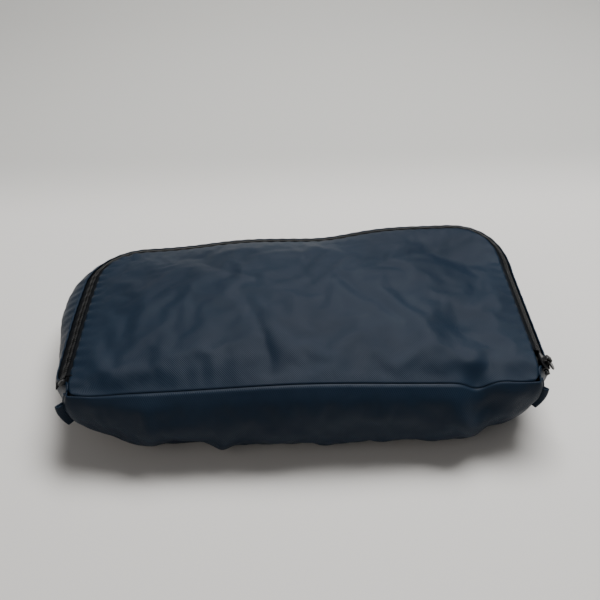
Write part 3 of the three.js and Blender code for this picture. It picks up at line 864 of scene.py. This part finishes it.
flat_pocket("document_sleeve_cloth", "document_sleeve", lining_cloth, LINING)
for number in (1, 2, 3):
    flat_pocket(f"card_pocket_{number}_cloth", f"card_pocket_{number}", lining_cloth,
                LINING)
flat_pocket("sleeve_mouth_binding", "sleeve_binding", polyester_tape, 0.7)


def lid_sheet(name, node, lower, material, thick):
    """A sheet over the place of its CAD piece, hanging that far below the lid's cloth."""
    low, high = (Vector(c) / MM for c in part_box(node))
    size = high - low

    def spot(u, v):
        return under_lid(low.x + size.x * u, low.y + size.y * v, lower)

    piece = cut_sheet(name, 70, max(3, int(size.y / 3)), spot, (size.x, size.y))
    sew(piece, material, thick)
    stand_for(piece, "lid", node)
    return piece, size * MM


mesh_pocket, mesh_size = lid_sheet("lid_mesh_pocket", "lid_pocket", 5.7, mesh_cloth, 0.5)
lid_sheet("lid_pocket_hem_tape", "lid_pocket_hem", 6.8, polyester_tape, 0.8)

# ---- Floor, light and camera ----
# The pouch lies on a pale paper sweep, under one large soft light above and behind it and a weak
# fill from the front left. The camera looks down on it from the front.

# Matt white paper: no gloss, and very slightly cloudy.
paper, paper_tree, paper_body = finish("matt_white_paper", {
    "Base Color": linear("#d6d3cf"), "Roughness": 0.9})
paper_place = add(paper_tree, "ShaderNodeTexCoord")
paper_cloud = add(paper_tree, "ShaderNodeTexNoise", {"Scale": 2.0, "Detail": 2.0},
                  {"Vector": paper_place.outputs["Object"]})
paper_tint = add(paper_tree, "ShaderNodeMix", None, {"Factor": paper_cloud.outputs["Fac"]},
                 data_type="RGBA")
paper_tint.inputs[6].default_value = linear("#d2cfcb")
paper_tint.inputs[7].default_value = linear("#dad8d4")
# Painted shade: the paper's far part is painted greyer in place of the dimmer light where the floor
# meets the wall; the colour changes softly between 0.17 m and 0.29 m behind.
paper_axes = add(paper_tree, "ShaderNodeSeparateXYZ", links={0: paper_place.outputs["Object"]})
painted_far_shade_ramp = add(paper_tree, "ShaderNodeMapRange", {1: 0.17, 2: 0.29, 3: 0.0, 4: 1.0},
                {0: paper_axes.outputs["Y"]}, interpolation_type="SMOOTHSTEP")
# the paper's cloudy tone, blended into a painted grey shade towards the back
paper_tone_and_painted_shade = add(paper_tree, "ShaderNodeMix", None,
                 {"Factor": painted_far_shade_ramp.outputs[0], 6: paper_tint.outputs[2]}, data_type="RGBA")
# the grey of the painted shade at the back of the paper
paper_tone_and_painted_shade.inputs[7].default_value = linear("#bab9b5")
paper_tree.links.new(paper_tone_and_painted_shade.outputs[2], paper_body.inputs["Base Color"])

SWEEP_WIDE = 12000
SWEEP_LONG = 8400
SWEEP_AHEAD = 6000
SWEEP_START = 640.0  # where it starts to curve up, and the curve's radius and angle
SWEEP_RADIUS = 420.0
SWEEP_ANGLE = math.pi / 2 * 0.94


def sweep_spot(u, v):
    """A flat floor, then a curve, then an almost upright wall."""
    x = -SWEEP_WIDE / 2 + SWEEP_WIDE * u
    far = SWEEP_LONG * v - SWEEP_AHEAD
    if far < SWEEP_START:
        return x, far, 0.0
    turn = min((far - SWEEP_START) / SWEEP_RADIUS, SWEEP_ANGLE)
    over = far - SWEEP_START - SWEEP_RADIUS * turn
    return (x, SWEEP_START + SWEEP_RADIUS * math.sin(turn) + over * math.cos(turn),
            SWEEP_RADIUS * (1 - math.cos(turn)) + over * math.sin(turn))


floor = cut_sheet("paper_sweep", 8, 280, sweep_spot, (SWEEP_WIDE, SWEEP_LONG))
floor.data.materials.append(paper)

world = bpy.data.worlds.new("studio")
bpy.context.scene.world = world
world.use_nodes = True
world.node_tree.nodes["Background"].inputs["Color"].default_value = linear("#e6e8ec")
world.node_tree.nodes["Background"].inputs["Strength"].default_value = 0.17


def soft_light(name, place, aim, size, power, colour):
    """A rectangular soft box, aimed at a point."""
    lamp = bpy.data.lights.new(name, "AREA")
    lamp.shape, lamp.size, lamp.size_y = "RECTANGLE", size[0], size[1]
    lamp.energy, lamp.color = power, linear(colour)[:3]
    light = bpy.data.objects.new(name, lamp)
    light.location = place
    light.rotation_euler = (Vector(aim) - Vector(place)).to_track_quat("-Z", "Y").to_euler()
    bpy.context.collection.objects.link(light)


soft_light("overhead_softbox", (0.2, 0.32, 1.05), (0.0, 0.02, 0.0), (0.8, 0.4), 21.0, "#ffffff")
soft_light("front_fill", (-0.7, -0.9, 0.9), (0, 0, 0.03), (0.9, 0.9), 2.6, "#fff6ee")

EYE = Vector((-0.0063, -0.3676, 0.3639))
YAW, PITCH, ROLL = math.radians(0.92), math.radians(40.1), math.radians(-1.12)
lens = bpy.data.cameras.new("camera")
lens.sensor_width = 36.0
lens.lens = 46.0
camera = bpy.data.objects.new("camera", lens)
camera.location = EYE
camera.rotation_mode = "QUATERNION"
ahead = Vector((math.sin(YAW) * math.cos(PITCH), math.cos(YAW) * math.cos(PITCH), -math.sin(PITCH)))
level = ahead.to_track_quat("-Z", "Y")
camera.rotation_quaternion = level @ Matrix.Rotation(-ROLL, 3, "Z").to_quaternion().inverted()
bpy.context.collection.objects.link(camera)
bpy.context.scene.camera = camera

bpy.context.view_layer.update()
